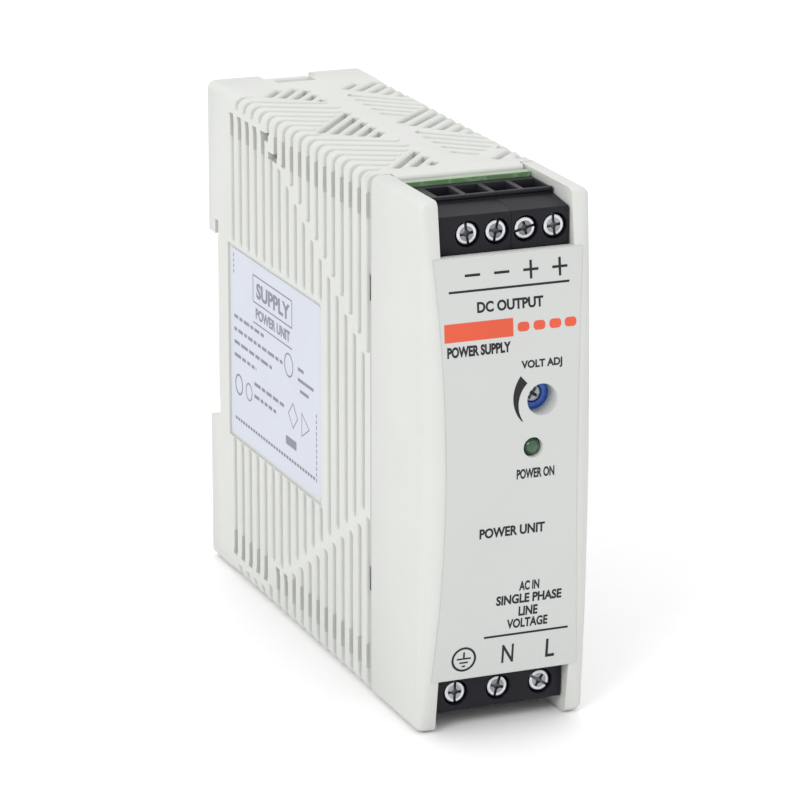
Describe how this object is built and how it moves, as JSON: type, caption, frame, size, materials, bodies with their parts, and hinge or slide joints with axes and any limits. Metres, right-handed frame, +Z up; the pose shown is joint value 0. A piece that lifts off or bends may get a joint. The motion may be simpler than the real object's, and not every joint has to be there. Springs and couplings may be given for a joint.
{
  "type": "din rail power supply",
  "caption": "Slim rail-mounted power supply with ribbed housing, bowed front cover, screw terminals at top and bottom, voltage trimmer, indicator and sprung rail latch.",
  "frame": {"origin": "middle of the bottom of the bounding box", "axes": "+Z up, +Y from the front cover towards the rail, +X to the right as seen from the front"},
  "size_m": [0.03, 0.104, 0.09],
  "materials": {
    "shell": "fine matte texture, light grey",
    "overlay": "printed satin film, light grey",
    "label": "satin printed label film",
    "terminal": "semi-matte charcoal",
    "zinc": "bright zinc plate",
    "tinned": "tinned brass",
    "board": "green solder mask",
    "trimmer_blue": "glossy blue",
    "trimmer_grey": "light grey",
    "led_lens": "translucent green epoxy",
    "ferrite": "dark sintered ferrite",
    "bobbin": "black phenolic",
    "winding": "yellow insulating tape over copper",
    "sleeve": "dark shrink sleeve",
    "film_case": "yellow moulded case",
    "ceramic": "blue lacquered ceramic",
    "epoxy": "black moulding compound",
    "fuse_tube": "brown sleeve",
    "aluminium": "extruded, bare",
    "spring_steel": "drawn wire",
    "latch": "dark glass-filled nylon"
  },
  "bodies": {
    "unit": {"housing": "shell", "front_cover": "shell", "front_overlay": "overlay", "side_label": "label", "output_terminal_left": "terminal", "output_terminal_right": "terminal", "input_terminal": "terminal", "front_board": "board", "main_board": "board", "board_header": "epoxy", "trimmer_body": "trimmer_blue", "indicator_led": "led_lens", "transformer_core": "ferrite", "transformer_bobbin": "bobbin", "transformer_winding": "winding", "bulk_capacitor": "sleeve", "output_capacitor_1": "sleeve", "output_capacitor_2": "sleeve", "line_choke": "winding", "x_capacitor": "film_case", "fuse": "fuse_tube", "inrush_limiter": "epoxy", "bridge_rectifier": "epoxy", "primary_heatsink": "aluminium", "switching_transistor": "epoxy", "secondary_heatsink": "aluminium", "output_diode": "epoxy", "output_inductor": "ferrite", "y_capacitor": "ceramic", "optocoupler": "epoxy", "controller_chip": "epoxy", "latch_spring": "spring_steel", "output_contact_1": "tinned", "output_contact_2": "tinned", "output_contact_3": "tinned", "output_contact_4": "tinned", "input_contact_1": "tinned", "input_contact_2": "tinned", "input_contact_3": "tinned"},
    "rail_latch": {"rail_latch": "latch"},
    "trimmer_rotor": {"trimmer_rotor": "trimmer_grey"},
    "output_screw_1": {"output_screw_1": "zinc"},
    "output_clamp_1": {"output_clamp_1": "zinc"},
    "output_screw_2": {"output_screw_2": "zinc"},
    "output_clamp_2": {"output_clamp_2": "zinc"},
    "output_screw_3": {"output_screw_3": "zinc"},
    "output_clamp_3": {"output_clamp_3": "zinc"},
    "output_screw_4": {"output_screw_4": "zinc"},
    "output_clamp_4": {"output_clamp_4": "zinc"},
    "input_screw_1": {"input_screw_1": "zinc"},
    "input_clamp_1": {"input_clamp_1": "zinc"},
    "input_screw_2": {"input_screw_2": "zinc"},
    "input_clamp_2": {"input_clamp_2": "zinc"},
    "input_screw_3": {"input_screw_3": "zinc"},
    "input_clamp_3": {"input_clamp_3": "zinc"}
  },
  "joints": [
    {"name": "rail_latch_slide", "type": "slide", "parent": "unit", "child": "rail_latch", "axis": [0, 0, -1], "range_m": [0, 0.0032], "stiffness_N_per_m": 600, "springref_m": -0.003, "deforming": ["latch_spring"]},
    {"name": "voltage_trim", "type": "hinge", "parent": "unit", "child": "trimmer_rotor", "pos_m": [0.0053, -0.049, 0.0564], "axis": [0, 1, 0], "range_deg": [-130, 130]},
    {"name": "output_screw_1_turn", "type": "hinge", "parent": "unit", "child": "output_screw_1", "pos_m": [-0.00632, -0.0477, 0.0841], "axis": [0, 1, 0], "range_deg": [0, 2520]},
    {"name": "output_clamp_1_slide", "type": "slide", "parent": "unit", "child": "output_clamp_1", "axis": [0, -1, 0], "range_m": [0, 0.00315]},
    {"name": "output_screw_2_turn", "type": "hinge", "parent": "unit", "child": "output_screw_2", "pos_m": [-0.00124, -0.0477, 0.0841], "axis": [0, 1, 0], "range_deg": [0, 2520]},
    {"name": "output_clamp_2_slide", "type": "slide", "parent": "unit", "child": "output_clamp_2", "axis": [0, -1, 0], "range_m": [0, 0.00315]},
    {"name": "output_screw_3_turn", "type": "hinge", "parent": "unit", "child": "output_screw_3", "pos_m": [0.00384, -0.0477, 0.0841], "axis": [0, 1, 0], "range_deg": [0, 2520]},
    {"name": "output_clamp_3_slide", "type": "slide", "parent": "unit", "child": "output_clamp_3", "axis": [0, -1, 0], "range_m": [0, 0.00315]},
    {"name": "output_screw_4_turn", "type": "hinge", "parent": "unit", "child": "output_screw_4", "pos_m": [0.00892, -0.0477, 0.0841], "axis": [0, 1, 0], "range_deg": [0, 2520]},
    {"name": "output_clamp_4_slide", "type": "slide", "parent": "unit", "child": "output_clamp_4", "axis": [0, -1, 0], "range_m": [0, 0.00315]},
    {"name": "input_screw_1_turn", "type": "hinge", "parent": "unit", "child": "input_screw_1", "pos_m": [-0.00762, -0.047, 0.0059], "axis": [0, 1, 0], "range_deg": [0, 2520]},
    {"name": "input_clamp_1_slide", "type": "slide", "parent": "unit", "child": "input_clamp_1", "axis": [0, -1, 0], "range_m": [0, 0.00315]},
    {"name": "input_screw_2_turn", "type": "hinge", "parent": "unit", "child": "input_screw_2", "pos_m": [0, -0.047, 0.0059], "axis": [0, 1, 0], "range_deg": [0, 2520]},
    {"name": "input_clamp_2_slide", "type": "slide", "parent": "unit", "child": "input_clamp_2", "axis": [0, -1, 0], "range_m": [0, 0.00315]},
    {"name": "input_screw_3_turn", "type": "hinge", "parent": "unit", "child": "input_screw_3", "pos_m": [0.00762, -0.047, 0.0059], "axis": [0, 1, 0], "range_deg": [0, 2520]},
    {"name": "input_clamp_3_slide", "type": "slide", "parent": "unit", "child": "input_clamp_3", "axis": [0, -1, 0], "range_m": [0, 0.00315]}
  ],
  "couplings": [
    {"joint": "output_screw_1_turn", "follows": "output_clamp_1_slide", "rad_per_m": 13963},
    {"joint": "output_screw_2_turn", "follows": "output_clamp_2_slide", "rad_per_m": 13963},
    {"joint": "output_screw_3_turn", "follows": "output_clamp_3_slide", "rad_per_m": 13963},
    {"joint": "output_screw_4_turn", "follows": "output_clamp_4_slide", "rad_per_m": 13963},
    {"joint": "input_screw_1_turn", "follows": "input_clamp_1_slide", "rad_per_m": 13963},
    {"joint": "input_screw_2_turn", "follows": "input_clamp_2_slide", "rad_per_m": 13963},
    {"joint": "input_screw_3_turn", "follows": "input_clamp_3_slide", "rad_per_m": 13963}
  ]
}
